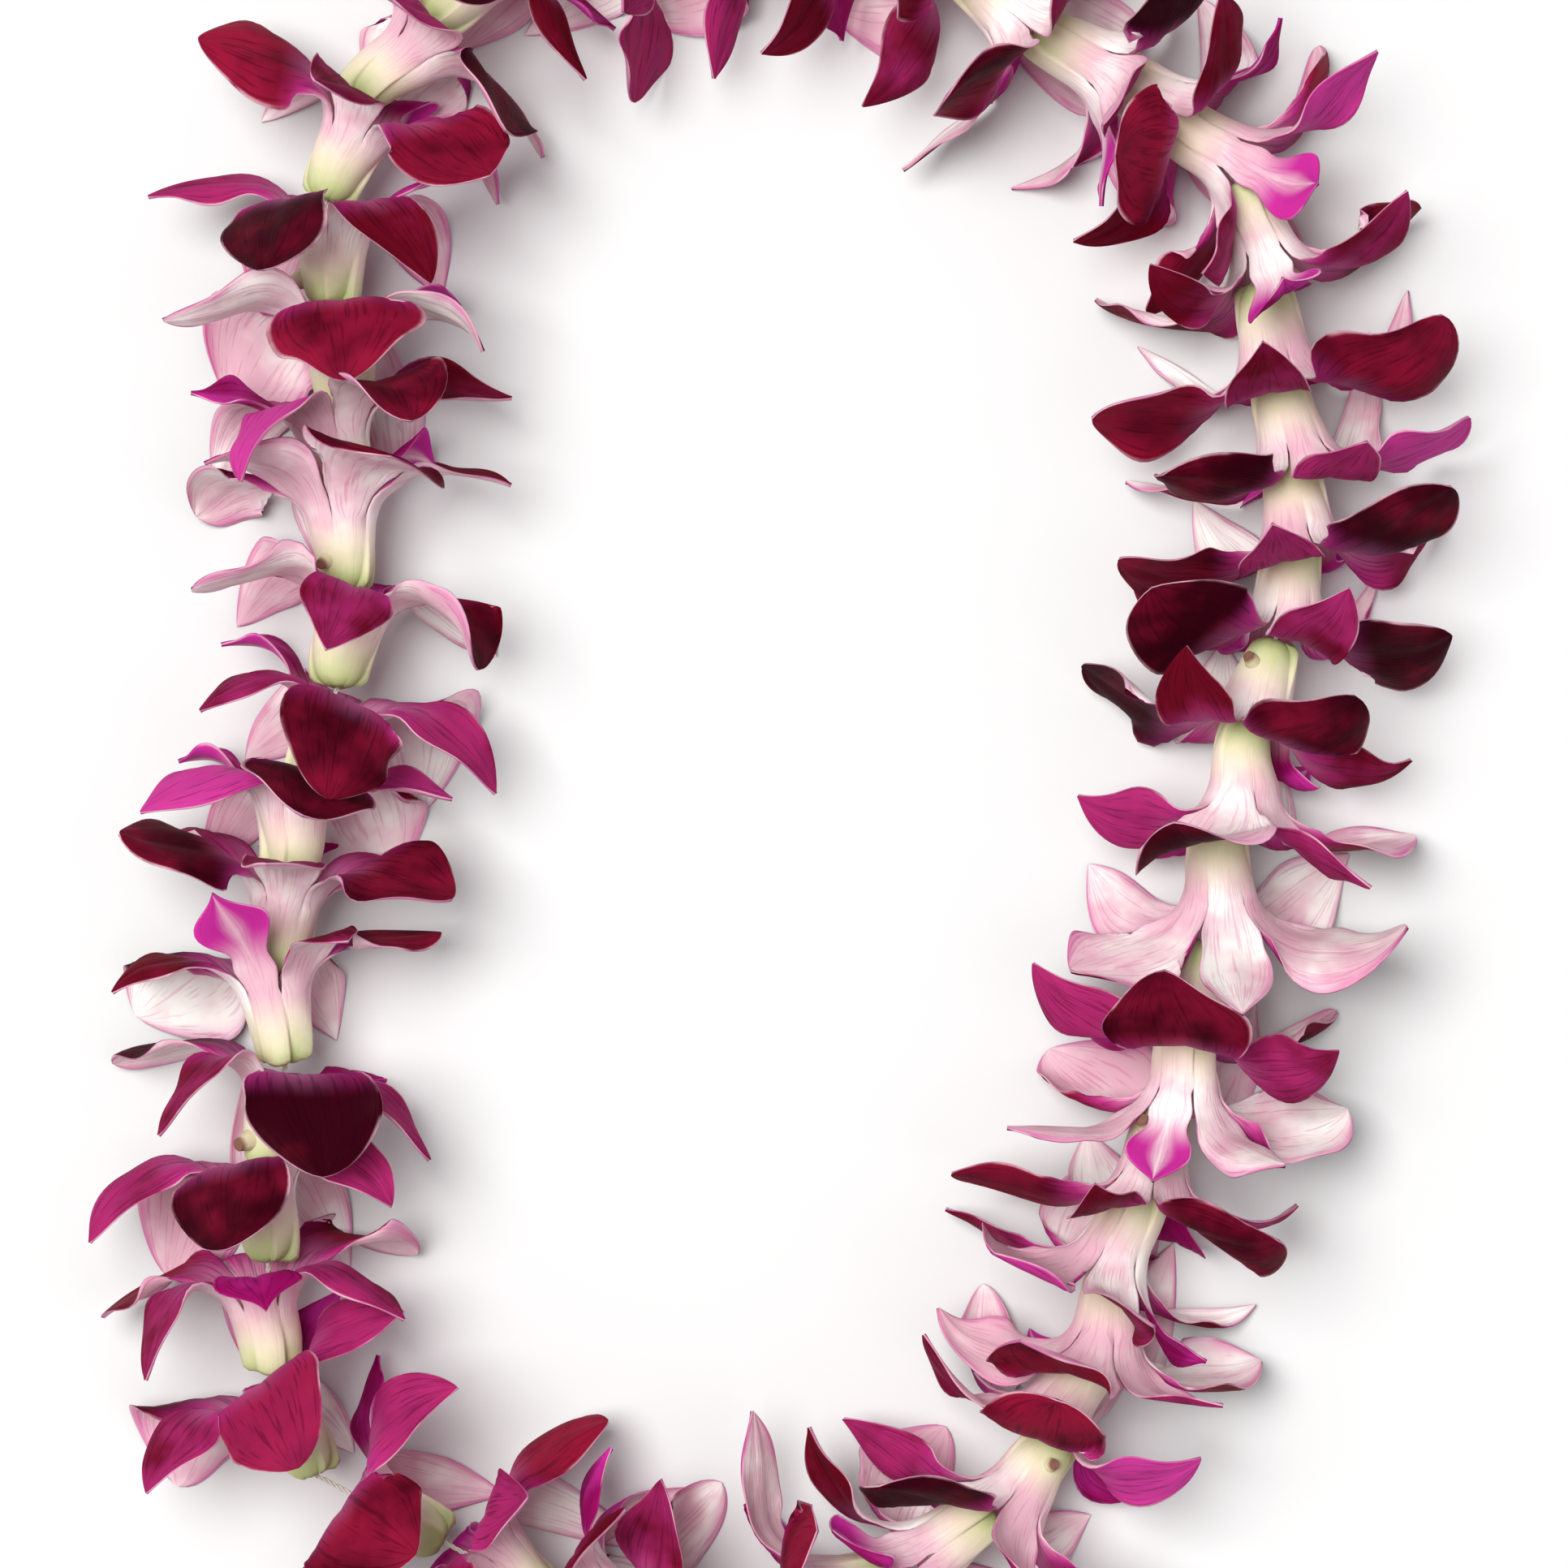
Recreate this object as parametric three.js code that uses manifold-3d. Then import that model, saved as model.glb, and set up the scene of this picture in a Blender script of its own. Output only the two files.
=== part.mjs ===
// A single-strand lei of fresh dendrobium orchid blooms, lying flat in a long oval loop on a table.
// One cotton string, tied into a loop, runs through a needle hole in the base of each bloom, and each
// bloom's base sits in the mouth of the bloom behind it. Millimetres, +Z up, the table is Z = 0.
import * as THREE from "three";
import { mergeVertices } from "three/addons/utils/BufferGeometryUtils.js";
import Module from "manifold-3d";

const wasm = await Module();
wasm.setup();

// String
const stringRadius = 0.6;
const stringHeight = 20.3;
const stringSides = 6;
const knotRadius = 1.5;
const knotBloom = 17;
const knotStation = 13.5;
const tailLength = 6;

// Bloom base and throat, measured along the wall from the tip of the base
const needleHoleRadius = 1.05;
const tipRadius = 2.2;
const wallBend = 5;
const wallRow = 5;
const floorRow = 10;
const splitRow = 16;
const tipFlare = 60;
const tubeFlare = 13;
const wallThickness = 1.3;
const chinBack = 3.5;
const chinOut = 1.2;

// Free lobes: sepals, petals and lip
const bladeThickness = 1.0;
const archStart = 14;
const archEnd = 38;
const flatStart = 25;
const twistEnd = 42;
const tipCurlLength = 15;
const spineStep = 0.5;

// How far a bloom may lean off the string's line, sideways and up, from where to where along its wall
const leanAngle = 11;
const liftAngle = 6;
const leanStart = 4;

// Cut flower stalk and column
const stalkRadius = 1.8;
const stalkReach = 8.6;
const stalkStation = 8;
const stubbedBlooms = [4, 10, 13, 21, 30, 35, 39, 44];
const columnRadius = 1.5;
const columnStart = 6;
const columnEnd = 17;
const columnOffset = 3.9;

// How lobes that hang below the string turn back along the table: from which depth to which, and how far over
const layStart = 6;
const layEnd = 29;
const layAngle = 89.6;
const layStep = 0.25;

// The rows below are measured from this point of the loop, and the part's own origin is under its middle.
const originX = -0.59;
const originY = 4.77;

const degrees = Math.PI / 180;

// The loop: one row for each bloom, clockwise from the lower left. x and y are the place of its base's tip on
// the string, turn is how far its dorsal sepal is rolled from straight up, open is how far its lobes fold out
// from the string, tilt is how much further those that face up fold back, and show is how far those at the
// sides twist to turn their fronts up.
const blooms = [
  { x: -104.5, y: -153.0, turn: 60, open: 82, tilt: 56, show: 24 },
  { x: -113.5, y: -130.0, turn: 178, open: 100, tilt: 28, show: 11 },
  { x: -114.5, y: -105.5, turn: 75, open: 110, tilt: 24, show: 8 },
  { x: -115.0, y: -85.5, turn: 50, open: 110, tilt: 34, show: 5 },
  { x: -110.5, y: -61.5, turn: -165, open: 96, tilt: -20, show: -8 },
  { x: -112.5, y: -41.5, turn: -2, open: 88, tilt: 0, show: 0 },
  { x: -110.0, y: -21.5, turn: -80, open: 104, tilt: 16, show: 8 },
  { x: -105.0, y: -1.0, turn: -72, open: 110, tilt: 30, show: 9 },
  { x: -99.0, y: 22.0, turn: 0, open: 104, tilt: 30, show: -25 },
  { x: -97.5, y: 43.6, turn: 40, open: 92, tilt: -10, show: -12 },
  { x: -97.3, y: 62.4, turn: -100, open: 104, tilt: 8, show: 7 },
  { x: -97.8, y: 82.7, turn: 60, open: 106, tilt: 20, show: -20 },
  { x: -100.8, y: 106.5, turn: 98, open: 104, tilt: 26, show: 0 },
  { x: -101.5, y: 130.0, turn: 12, open: 108, tilt: -14, show: 30 },
  { x: -94.0, y: 152.0, turn: -120, open: 98, tilt: 6, show: 24 },
  { x: -79.0, y: 170.0, turn: 70, open: 106, tilt: 25, show: 24 },
  { x: -57.0, y: 185.0, turn: -35, open: 104, tilt: 15, show: 24 },
  { x: -34.0, y: 194.5, turn: 140, open: 104, tilt: 10, show: 24 },
  { x: -10.0, y: 197.0, turn: 65, open: 106, tilt: 22, show: 24 },
  { x: 14.5, y: 193.0, turn: -80, open: 106, tilt: 15, show: 24 },
  { x: 38.0, y: 182.0, turn: 20, open: 104, tilt: 15, show: 28 },
  { x: 56.0, y: 168.0, turn: 110, open: 100, tilt: 0, show: 24 },
  { x: 71.5, y: 158.5, turn: -96, open: 102, tilt: 5, show: 24 },
  { x: 85.5, y: 148.5, turn: 181, open: 96, tilt: -15, show: 28 },
  { x: 101.5, y: 132.5, turn: 175, open: 104, tilt: 0, show: 32 },
  { x: 106.0, y: 111.0, turn: -14, open: 100, tilt: 12, show: 36 },
  { x: 109.5, y: 91.0, turn: 15, open: 102, tilt: 8, show: 30 },
  { x: 112.5, y: 72.0, turn: -20, open: 103, tilt: 10, show: 30 },
  { x: 113.5, y: 54.0, turn: 10, open: 103, tilt: 15, show: 34 },
  { x: 109.0, y: 31.5, turn: -38, open: 104, tilt: 10, show: 30 },
  { x: 103.5, y: 13.5, turn: 42, open: 92, tilt: -16, show: 26 },
  { x: 96.8, y: -8.9, turn: 8, open: 92, tilt: -20, show: -18 },
  { x: 93.8, y: -35.2, turn: 62, open: 104, tilt: 15, show: 30 },
  { x: 90.5, y: -51.9, turn: 163, open: 95, tilt: -15, show: -15 },
  { x: 84.8, y: -71.0, turn: -30, open: 94, tilt: -10, show: 20 },
  { x: 79.3, y: -88.9, turn: -110, open: 92, tilt: -10, show: 28 },
  { x: 74.5, y: -106.6, turn: 40, open: 100, tilt: 4, show: -20 },
  { x: 68.5, y: -124.0, turn: -68, open: 104, tilt: 26, show: 20 },
  { x: 61.5, y: -145.0, turn: 20, open: 90, tilt: -15, show: 22 },
  { x: 46.0, y: -161.0, turn: 150, open: 98, tilt: 5, show: 28 },
  { x: 24.0, y: -175.5, turn: 40, open: 102, tilt: 10, show: -15 },
  { x: -3.0, y: -184.0, turn: -60, open: 104, tilt: 12, show: 28 },
  { x: -27.0, y: -187.0, turn: 100, open: 102, tilt: 8, show: 24 },
  { x: -51.0, y: -181.0, turn: -25, open: 100, tilt: 5, show: 28 },
  { x: -76.0, y: -168.0, turn: 68, open: 106, tilt: 25, show: 28 },
];

// The shape of each kind of lobe. swell and blunt shape its width; rows are where its cross-sections lie.
const sepal = { length: 54, width: 8.8, swell: 0.95, blunt: 0.85, rows: [0.18, 0.4, 0.62, 0.86] };
const petal = { length: 55, width: 15.5, swell: 1.08, blunt: 0.62, rows: [0.2, 0.44, 0.68, 0.91] };
const lip = { length: 45, width: 10.5, rows: [0.16, 0.36, 0.6, 0.84] };

// Round the throat from the dorsal sepal, in degrees: where each lobe is rooted and how far it spreads from
// there, how much less it folds out than the others, and the limit on both sides that it keeps within.
const lobes = [
  { kind: sepal, root: 0, spread: 0, lead: 0, limit: 24 },
  { kind: petal, root: 60, spread: 8, lead: 0, limit: 44 },
  { kind: sepal, root: 120, spread: 10, lead: 0, limit: 18 },
  { kind: lip, root: 180, spread: 0, lead: -32, limit: 32 },
  { kind: sepal, root: 240, spread: -10, lead: 0, limit: 18 },
  { kind: petal, root: 300, spread: -8, lead: 0, limit: 44 },
];
const rootLimit = 30;
const lobeClearance = 1.5;

// A seeded draw from -1 to 1, one for each bloom, lobe and trait
function draw(bloom, lobe, trait) {
  const wave = Math.sin(bloom * 12.9898 + lobe * 78.233 + trait * 37.719 + 2.3) * 43758.5453;
  return 2 * (wave - Math.floor(wave)) - 1;
}

function smooth(low, high, value) {
  const t = Math.min(1, Math.max(0, (value - low) / (high - low)));
  return t * t * (3 - 2 * t);
}

// The angle of the wall from the string, in degrees, at a distance along it
function wallAngle(row) {
  return tubeFlare + (tipFlare - tubeFlare) * (1 - smooth(0, wallBend, row));
}

// The traits of one lobe of one bloom
function lobeTraits(index, number) {
  const { turn, open, tilt, show } = blooms[index];
  const { kind, root, spread, lead, limit } = lobes[number];
  const facing = 90 + turn + root;
  const up = Math.sin((facing + spread) * degrees);
  const inward = Math.cos((facing + spread) * degrees);
  return {
    kind,
    root,
    facing,
    spread,
    limit,
    swirl: 9 * draw(index, 0, 9),
    fold: open + lead + tilt * Math.max(up, 0) + 9 * draw(index, number, 2),
    curl: 17 + 31 * draw(index, number, 3),
    twist: 22 * draw(index, number, 4) - show * inward,
    cup: 0.026 * draw(index, number, 5),
    size: 1 + 0.1 * draw(index, number, 6),
  };
}

// The spine of a lobe from the tip of the base outwards: station along the string and distance from it
function lobeSpine(traits) {
  const length = traits.kind.length;
  const points = [{ station: 0, radius: tipRadius, angle: wallAngle(0) }];
  for (let row = spineStep; row <= length + spineStep; row += spineStep) {
    const at = row - spineStep / 2;
    const arch = smooth(archStart, archEnd, at);
    const curl = smooth(length - tipCurlLength, length, at);
    const angle = wallAngle(at) + (traits.fold - tubeFlare) * arch + traits.curl * curl;
    const last = points[points.length - 1];
    const step = spineStep * (at > splitRow ? traits.size : 1);
    points.push({
      station: last.station + step * Math.cos(angle * degrees),
      radius: last.radius + step * Math.sin(angle * degrees),
      angle,
    });
  }
  return points;
}

function spineAt(points, row) {
  const place = Math.min(row / spineStep, points.length - 1.001);
  const below = Math.floor(place);
  const share = place - below;
  const [a, b] = [points[below], points[below + 1]];
  return {
    station: a.station + share * (b.station - a.station),
    radius: a.radius + share * (b.radius - a.radius),
    angle: a.angle + share * (b.angle - a.angle),
  };
}

// Half the width of a lobe at a row. Below the split all lobes share the tube between them.
function halfWidth(traits, row, tubeRadius) {
  const shared = (tubeRadius * Math.PI) / lobes.length;
  if (row <= splitRow) return shared;
  const kind = traits.kind;
  const t = Math.min(1, (row - splitRow) / (kind.length - splitRow));
  const claw = shared * (1 - t) ** 3;
  if (kind === lip) {
    const sideLobes = 3.4 * Math.exp(-(((t - 0.2) / 0.14) ** 2));
    const middleLobe = kind.width * Math.exp(-(((t - 0.66) / 0.24) ** 2));
    return (claw + sideLobes + middleLobe) * Math.sqrt(Math.max(0, 1 - t ** 5));
  }
  return claw + kind.width * Math.sin(Math.PI * t ** kind.swell) ** kind.blunt;
}

const splitRadius = spineAt(lobeSpine(lobeTraits(0, 0)), splitRow).radius;

// The frame of a bloom: its place on the string and the direction to the next bloom's base
function bloomFrame(index) {
  const { x, y } = blooms[index];
  const next = blooms[(index + 1) % blooms.length];
  const origin = new THREE.Vector3(x - originX, y - originY, stringHeight);
  const forward = new THREE.Vector3(next.x - x, next.y - y, 0).normalize();
  const up = new THREE.Vector3(0, 0, 1);
  const side = new THREE.Vector3().crossVectors(up, forward);
  const lean = leanAngle * draw(index, 0, 12) * degrees;
  const lift = liftAngle * draw(index, 0, 13) * degrees;
  return { origin, forward, side, up, lean, lift };
}

// What would hang through the table bends back along it: for each depth below the string, in steps, how far
// back and how far down it comes to lie.
function layTable() {
  const rows = [{ back: 0, down: 0 }];
  for (let depth = layStep / 2; depth < 60; depth += layStep) {
    const over = layAngle * smooth(layStart, layEnd, depth) * degrees;
    const last = rows[rows.length - 1];
    rows.push({
      back: last.back + layStep * Math.sin(over),
      down: last.down + layStep * Math.cos(over),
    });
  }
  return rows;
}

const layRows = layTable();

function layOnTable(point, frame) {
  const depth = frame.origin.z - point.z;
  if (depth <= 0) return;
  const below = Math.floor(depth / layStep);
  const share = depth / layStep - below;
  const [a, b] = [layRows[below], layRows[below + 1]];
  point.addScaledVector(frame.forward, -(a.back + share * (b.back - a.back)));
  point.z = frame.origin.z - (a.down + share * (b.down - a.down));
}

// A bloom's throat and lobes lean about the tip of its base, sideways and then up.
function leanOver(local, frame, share) {
  const [lean, lift] = [frame.lean * share, frame.lift * share];
  const along = local.along * Math.cos(lean) - local.sideways * Math.sin(lean);
  local.sideways = local.along * Math.sin(lean) + local.sideways * Math.cos(lean);
  local.along = along * Math.cos(lift) - local.upward * Math.sin(lift);
  local.upward = along * Math.sin(lift) + local.upward * Math.cos(lift);
}

// An angle kept within a limit, smoothly
function within(angle, limit) {
  return angle / (1 + (Math.abs(angle) / limit) ** 4) ** 0.25;
}

// A point of the middle surface of a lobe, at a row and a distance across it
function lobePoint(frame, traits, spine, row, across) {
  const { station, radius, angle } = spineAt(spine, row);
  const free = smooth(splitRow, traits.kind.length, row);
  const facing = (traits.facing + traits.spread * free + traits.swirl * free ** 2) * degrees;
  const theta = angle * degrees;
  const bend = (1 - smooth(splitRow, flatStart, row)) / splitRadius;
  const curvature = row <= splitRow ? 1 / radius : bend + traits.cup * (1 - bend);
  const tight = Math.abs(curvature) < 1e-4 ? 1e-4 : curvature;
  let sideways = Math.sin(tight * across) / tight;
  let frontward = (1 - Math.cos(tight * across)) / tight;
  const twist = traits.twist * smooth(splitRow, twistEnd, row) * degrees;
  [sideways, frontward] = [
    sideways * Math.cos(twist) - frontward * Math.sin(twist),
    sideways * Math.sin(twist) + frontward * Math.cos(twist),
  ];
  const outward = radius - frontward * Math.cos(theta);
  let offset = Math.atan2(sideways, outward);
  if (row > splitRow) {
    const limit = rootLimit + (traits.limit - lobeClearance - rootLimit) * free;
    offset = within(offset, limit * degrees);
  }
  const chin = chinWeight(traits, offset, row);
  const along = station + frontward * Math.sin(theta) - chinBack * chin;
  const reach = Math.hypot(outward, sideways) + chinOut * chin;
  const atAngle = facing + offset;
  const local = { along, sideways: -reach * Math.cos(atAngle), upward: reach * Math.sin(atAngle) };
  leanOver(local, frame, smooth(leanStart, splitRow, row));
  const point = frame.origin
    .clone()
    .addScaledVector(frame.forward, local.along)
    .addScaledVector(frame.side, local.sideways)
    .addScaledVector(frame.up, local.upward);
  layOnTable(point, frame);
  return point;
}

// The chin: the wall on the lip's side bulges back and out below the throat.
function chinWeight(traits, offset, row) {
  const side = Math.max(0, Math.cos((180 - traits.root) * degrees + offset));
  return side ** 2 * smooth(0, wallBend, row) * (1 - smooth(wallBend, splitRow, row));
}

// The outward normal of a lobe's back there, from its neighbouring points
function backNormal(frame, traits, spine, row, across) {
  const reach = 0.2;
  const point = (r, a) => lobePoint(frame, traits, spine, r, a);
  const alongIt = point(row + reach, across).sub(point(Math.max(0, row - reach), across));
  const acrossIt = point(row, across + reach).sub(point(row, across - reach));
  return alongIt.cross(acrossIt).normalize();
}

// A bloom's perianth: a solid base with a needle hole, a throat whose wall splits into six lobes, each a thin
// blade that is thickest along its middle and closes to an edge
function perianth(index) {
  const frame = bloomFrame(index);
  const positions = [];
  const triangles = [];
  const add = (point) => positions.push(point) - 1;
  const tri = (a, b, c) => triangles.push(a, c, b);
  const quad = (a, b, c, d) => {
    tri(a, b, c);
    tri(a, c, d);
  };
  const sheets = lobes.map((_, number) => {
    const traits = lobeTraits(index, number);
    return { traits, spine: lobeSpine(traits) };
  });
  // A vertex on a lobe, set off from its middle surface towards the back (+) or the front (-)
  const vertex = ({ traits, spine }, row, across, offset) => {
    const point = lobePoint(frame, traits, spine, row, across);
    if (offset !== 0) point.addScaledVector(backNormal(frame, traits, spine, row, across), offset);
    return add(point);
  };
  const radiusAt = (sheet, row) => spineAt(sheet.spine, row).radius;
  const edge = (sheet, row) => halfWidth(sheet.traits, row, radiusAt(sheet, row));
  const wall = wallThickness / 2;
  const blade = bladeThickness / 2;
  const tipMids = sheets.map((s) => vertex(s, 0, 0, 0));
  const wallMids = sheets.map((s) => vertex(s, wallRow, 0, wall));
  const wallEdges = sheets.map((s) => vertex(s, wallRow, edge(s, wallRow), wall));
  const splitBacks = sheets.map((s) => vertex(s, splitRow, 0, blade));
  const splitFronts = sheets.map((s) => vertex(s, splitRow, 0, -blade));
  const notches = sheets.map((s) => vertex(s, splitRow, edge(s, splitRow), 0));
  const floorMids = sheets.map((s) => vertex(s, floorRow, 0, -wall));
  const hole = (sheet, station) => {
    const facing = sheet.traits.facing * degrees;
    return frame.origin
      .clone()
      .addScaledVector(frame.forward, station)
      .addScaledVector(frame.side, -needleHoleRadius * Math.cos(facing))
      .addScaledVector(frame.up, needleHoleRadius * Math.sin(facing));
  };
  const holeTip = sheets.map((s) => add(hole(s, 0)));
  const holeFloor = sheets.map((s) => add(hole(s, spineAt(s.spine, floorRow).station)));
  for (let k = 0; k < sheets.length; k++) {
    const n = (k + 1) % sheets.length;
    // round tip of the base
    tri(tipMids[k], wallEdges[k], wallMids[k]);
    tri(tipMids[k], tipMids[n], wallEdges[k]);
    tri(tipMids[n], wallMids[n], wallEdges[k]);
    // outside of the tube
    quad(wallMids[k], wallEdges[k], notches[k], splitBacks[k]);
    quad(wallEdges[k], wallMids[n], splitBacks[n], notches[k]);
    // inside of the throat
    tri(floorMids[k], splitFronts[k], notches[k]);
    tri(floorMids[k], notches[k], floorMids[n]);
    tri(notches[k], splitFronts[n], floorMids[n]);
    // floor, needle hole and end face
    quad(holeFloor[k], floorMids[k], floorMids[n], holeFloor[n]);
    quad(holeTip[k], holeFloor[k], holeFloor[n], holeTip[n]);
    quad(tipMids[k], holeTip[k], holeTip[n], tipMids[n]);
  }
  sheets.forEach((sheet, k) => {
    const { kind } = sheet.traits;
    const before = notches[(k + sheets.length - 1) % sheets.length];
    let last = [before, splitBacks[k], notches[k], splitFronts[k]];
    for (const t of kind.rows) {
      const row = splitRow + t * (kind.length - splitRow);
      const half = edge(sheet, row);
      const next = [
        vertex(sheet, row, -half, 0),
        vertex(sheet, row, 0, blade),
        vertex(sheet, row, half, 0),
        vertex(sheet, row, 0, -blade),
      ];
      for (let side = 0; side < 4; side++) {
        const other = (side + 1) % 4;
        // both faces are split from the middle to the edge, alike
        if (side % 2) {
          tri(last[side], last[other], next[side]);
          tri(last[other], next[other], next[side]);
        } else {
          tri(last[side], last[other], next[other]);
          tri(last[side], next[other], next[side]);
        }
      }
      last = next;
    }
    const end = vertex(sheet, kind.length, 0, 0);
    for (let side = 0; side < 4; side++) tri(last[side], last[(side + 1) % 4], end);
  });
  return solid(positions, triangles);
}

// A closed list of points and triangles as a solid
function solid(points, triangles) {
  const vertProperties = new Float32Array(points.flatMap((p) => [p.x, p.y, p.z]));
  return new wasm.Manifold(
    new wasm.Mesh({ numProp: 3, vertProperties, triVerts: new Uint32Array(triangles) }),
  );
}

function solidOf(geometry) {
  geometry.deleteAttribute("normal");
  geometry.deleteAttribute("uv");
  const merged = mergeVertices(geometry, 1e-4);
  return new wasm.Manifold(
    new wasm.Mesh({
      numProp: 3,
      vertProperties: merged.attributes.position.array,
      triVerts: new Uint32Array(merged.index.array),
    }),
  );
}

// A slim tapered rod between two points of a bloom's own frame
function rod(frame, from, to, startRadius, endRadius, sides) {
  const place = ([along, sideways, upward]) =>
    frame.origin
      .clone()
      .addScaledVector(frame.forward, along)
      .addScaledVector(frame.side, sideways)
      .addScaledVector(frame.up, upward);
  const start = place(from);
  const end = place(to);
  const geometry = new THREE.CylinderGeometry(endRadius, startRadius, start.distanceTo(end), sides);
  const direction = end.clone().sub(start).normalize();
  geometry.applyQuaternion(
    new THREE.Quaternion().setFromUnitVectors(new THREE.Vector3(0, 1, 0), direction),
  );
  const middle = start.add(end).multiplyScalar(0.5);
  geometry.translate(middle.x, middle.y, middle.z);
  return solidOf(geometry);
}

// The stub of the flower stalk, cut off short, on the back of the base
function stalk(index) {
  const frame = bloomFrame(index);
  const facing = (90 + blooms[index].turn) * degrees;
  const at = (radius) => [-radius * Math.cos(facing), radius * Math.sin(facing)];
  return rod(
    frame,
    [stalkStation, ...at(stalkReach / 2)],
    [stalkStation - 3, ...at(stalkReach)],
    stalkRadius,
    stalkRadius * 0.85,
    4,
  );
}

// The column stands on the throat's floor, against the dorsal sepal.
function column(index) {
  const frame = bloomFrame(index);
  const facing = (90 + blooms[index].turn) * degrees;
  const at = (radius) => [-radius * Math.cos(facing), radius * Math.sin(facing)];
  return rod(
    frame,
    [columnStart, ...at(columnOffset)],
    [columnEnd, ...at(columnOffset)],
    columnRadius * 0.9,
    columnRadius,
    4,
  );
}

// A whole bloom, pressed flat where it lies on the table. Most stalks broke off flush when it was picked.
function bloom(index) {
  const whole = perianth(index).add(column(index));
  const stubbed = stubbedBlooms.includes(index + 1);
  return (stubbed ? whole.add(stalk(index)) : whole).trimByPlane([0, 0, 1], 0);
}

// The string: one loop with a corner at each bloom's tip, and the knot that ties it
function string() {
  const corners = blooms.map((_, index) => {
    const before = bloomFrame((index + blooms.length - 1) % blooms.length);
    const frame = bloomFrame(index);
    const mitre = before.side.clone().add(frame.side).normalize();
    return { centre: frame.origin, mitre, up: frame.up };
  });
  const positions = [];
  const triangles = [];
  corners.forEach(({ centre, mitre, up }, corner) => {
    const nextCorner = (corner + 1) % corners.length;
    for (let side = 0; side < stringSides; side++) {
      const angle = (2 * Math.PI * side) / stringSides;
      positions.push(
        centre
          .clone()
          .addScaledVector(mitre, stringRadius * Math.cos(angle))
          .addScaledVector(up, stringRadius * Math.sin(angle)),
      );
      const nextSide = (side + 1) % stringSides;
      const [a, b] = [corner * stringSides + side, corner * stringSides + nextSide];
      const [c, d] = [nextCorner * stringSides + nextSide, nextCorner * stringSides + side];
      triangles.push(a, b, c, a, c, d);
    }
  });
  return solid(positions, triangles).add(knot());
}

function knot() {
  const frame = bloomFrame(knotBloom);
  const lump = new THREE.IcosahedronGeometry(knotRadius, 1);
  lump.scale(1.25, 1.25, 1);
  const centre = frame.origin.clone().addScaledVector(frame.forward, knotStation);
  lump.translate(centre.x, centre.y, centre.z);
  const tails = [-1, 1].map((side) =>
    rod(
      frame,
      [knotStation, 0.5 * side, -0.3],
      [knotStation + tailLength, 2.2 * side, -1],
      stringRadius,
      stringRadius * 0.9,
      5,
    ),
  );
  return solidOf(lump).add(tails[0]).add(tails[1]);
}

function meshOf(body, name, material) {
  const { vertProperties, triVerts, numProp } = body.getMesh();
  const position = new Float32Array((vertProperties.length / numProp) * 3);
  for (let i = 0; i < position.length / 3; i++)
    position.set(vertProperties.subarray(i * numProp, i * numProp + 3), i * 3);
  const geometry = new THREE.BufferGeometry();
  geometry.setAttribute("position", new THREE.BufferAttribute(position, 3));
  geometry.setIndex(new THREE.BufferAttribute(triVerts, 1));
  geometry.computeVertexNormals();
  const mesh = new THREE.Mesh(geometry, material);
  mesh.name = name;
  return mesh;
}

const petalMaterial = new THREE.MeshStandardMaterial({ color: 0xa3195b, roughness: 0.55, metalness: 0 });
const stringMaterial = new THREE.MeshStandardMaterial({ color: 0xe8e2d0, roughness: 0.9, metalness: 0 });

const lei = new THREE.Group();
lei.add(meshOf(string(), "string", stringMaterial));
blooms.forEach((_, index) =>
  lei.add(meshOf(bloom(index), `bloom_${String(index + 1).padStart(2, "0")}`, petalMaterial)),
);

export default lei;
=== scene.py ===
# A fresh orchid lei on a white table: 45 dendrobium blooms on one cotton string, in soft light from above
import math
import bmesh
import bpy
import numpy as np
from mathutils import Matrix, Vector


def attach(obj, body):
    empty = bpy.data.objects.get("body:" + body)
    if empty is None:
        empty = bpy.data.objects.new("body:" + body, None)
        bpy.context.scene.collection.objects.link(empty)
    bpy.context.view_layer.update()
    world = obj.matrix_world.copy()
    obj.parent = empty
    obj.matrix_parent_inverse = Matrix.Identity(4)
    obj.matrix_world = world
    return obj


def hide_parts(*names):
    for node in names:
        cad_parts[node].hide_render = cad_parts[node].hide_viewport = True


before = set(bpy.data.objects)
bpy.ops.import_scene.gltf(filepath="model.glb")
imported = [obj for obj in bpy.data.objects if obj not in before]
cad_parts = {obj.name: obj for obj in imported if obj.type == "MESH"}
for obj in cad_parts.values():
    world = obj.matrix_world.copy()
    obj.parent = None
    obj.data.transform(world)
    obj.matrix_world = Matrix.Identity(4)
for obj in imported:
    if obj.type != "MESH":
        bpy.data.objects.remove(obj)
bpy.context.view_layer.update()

degrees = math.pi / 180
mm = 0.001
seed = 2.3

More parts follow.
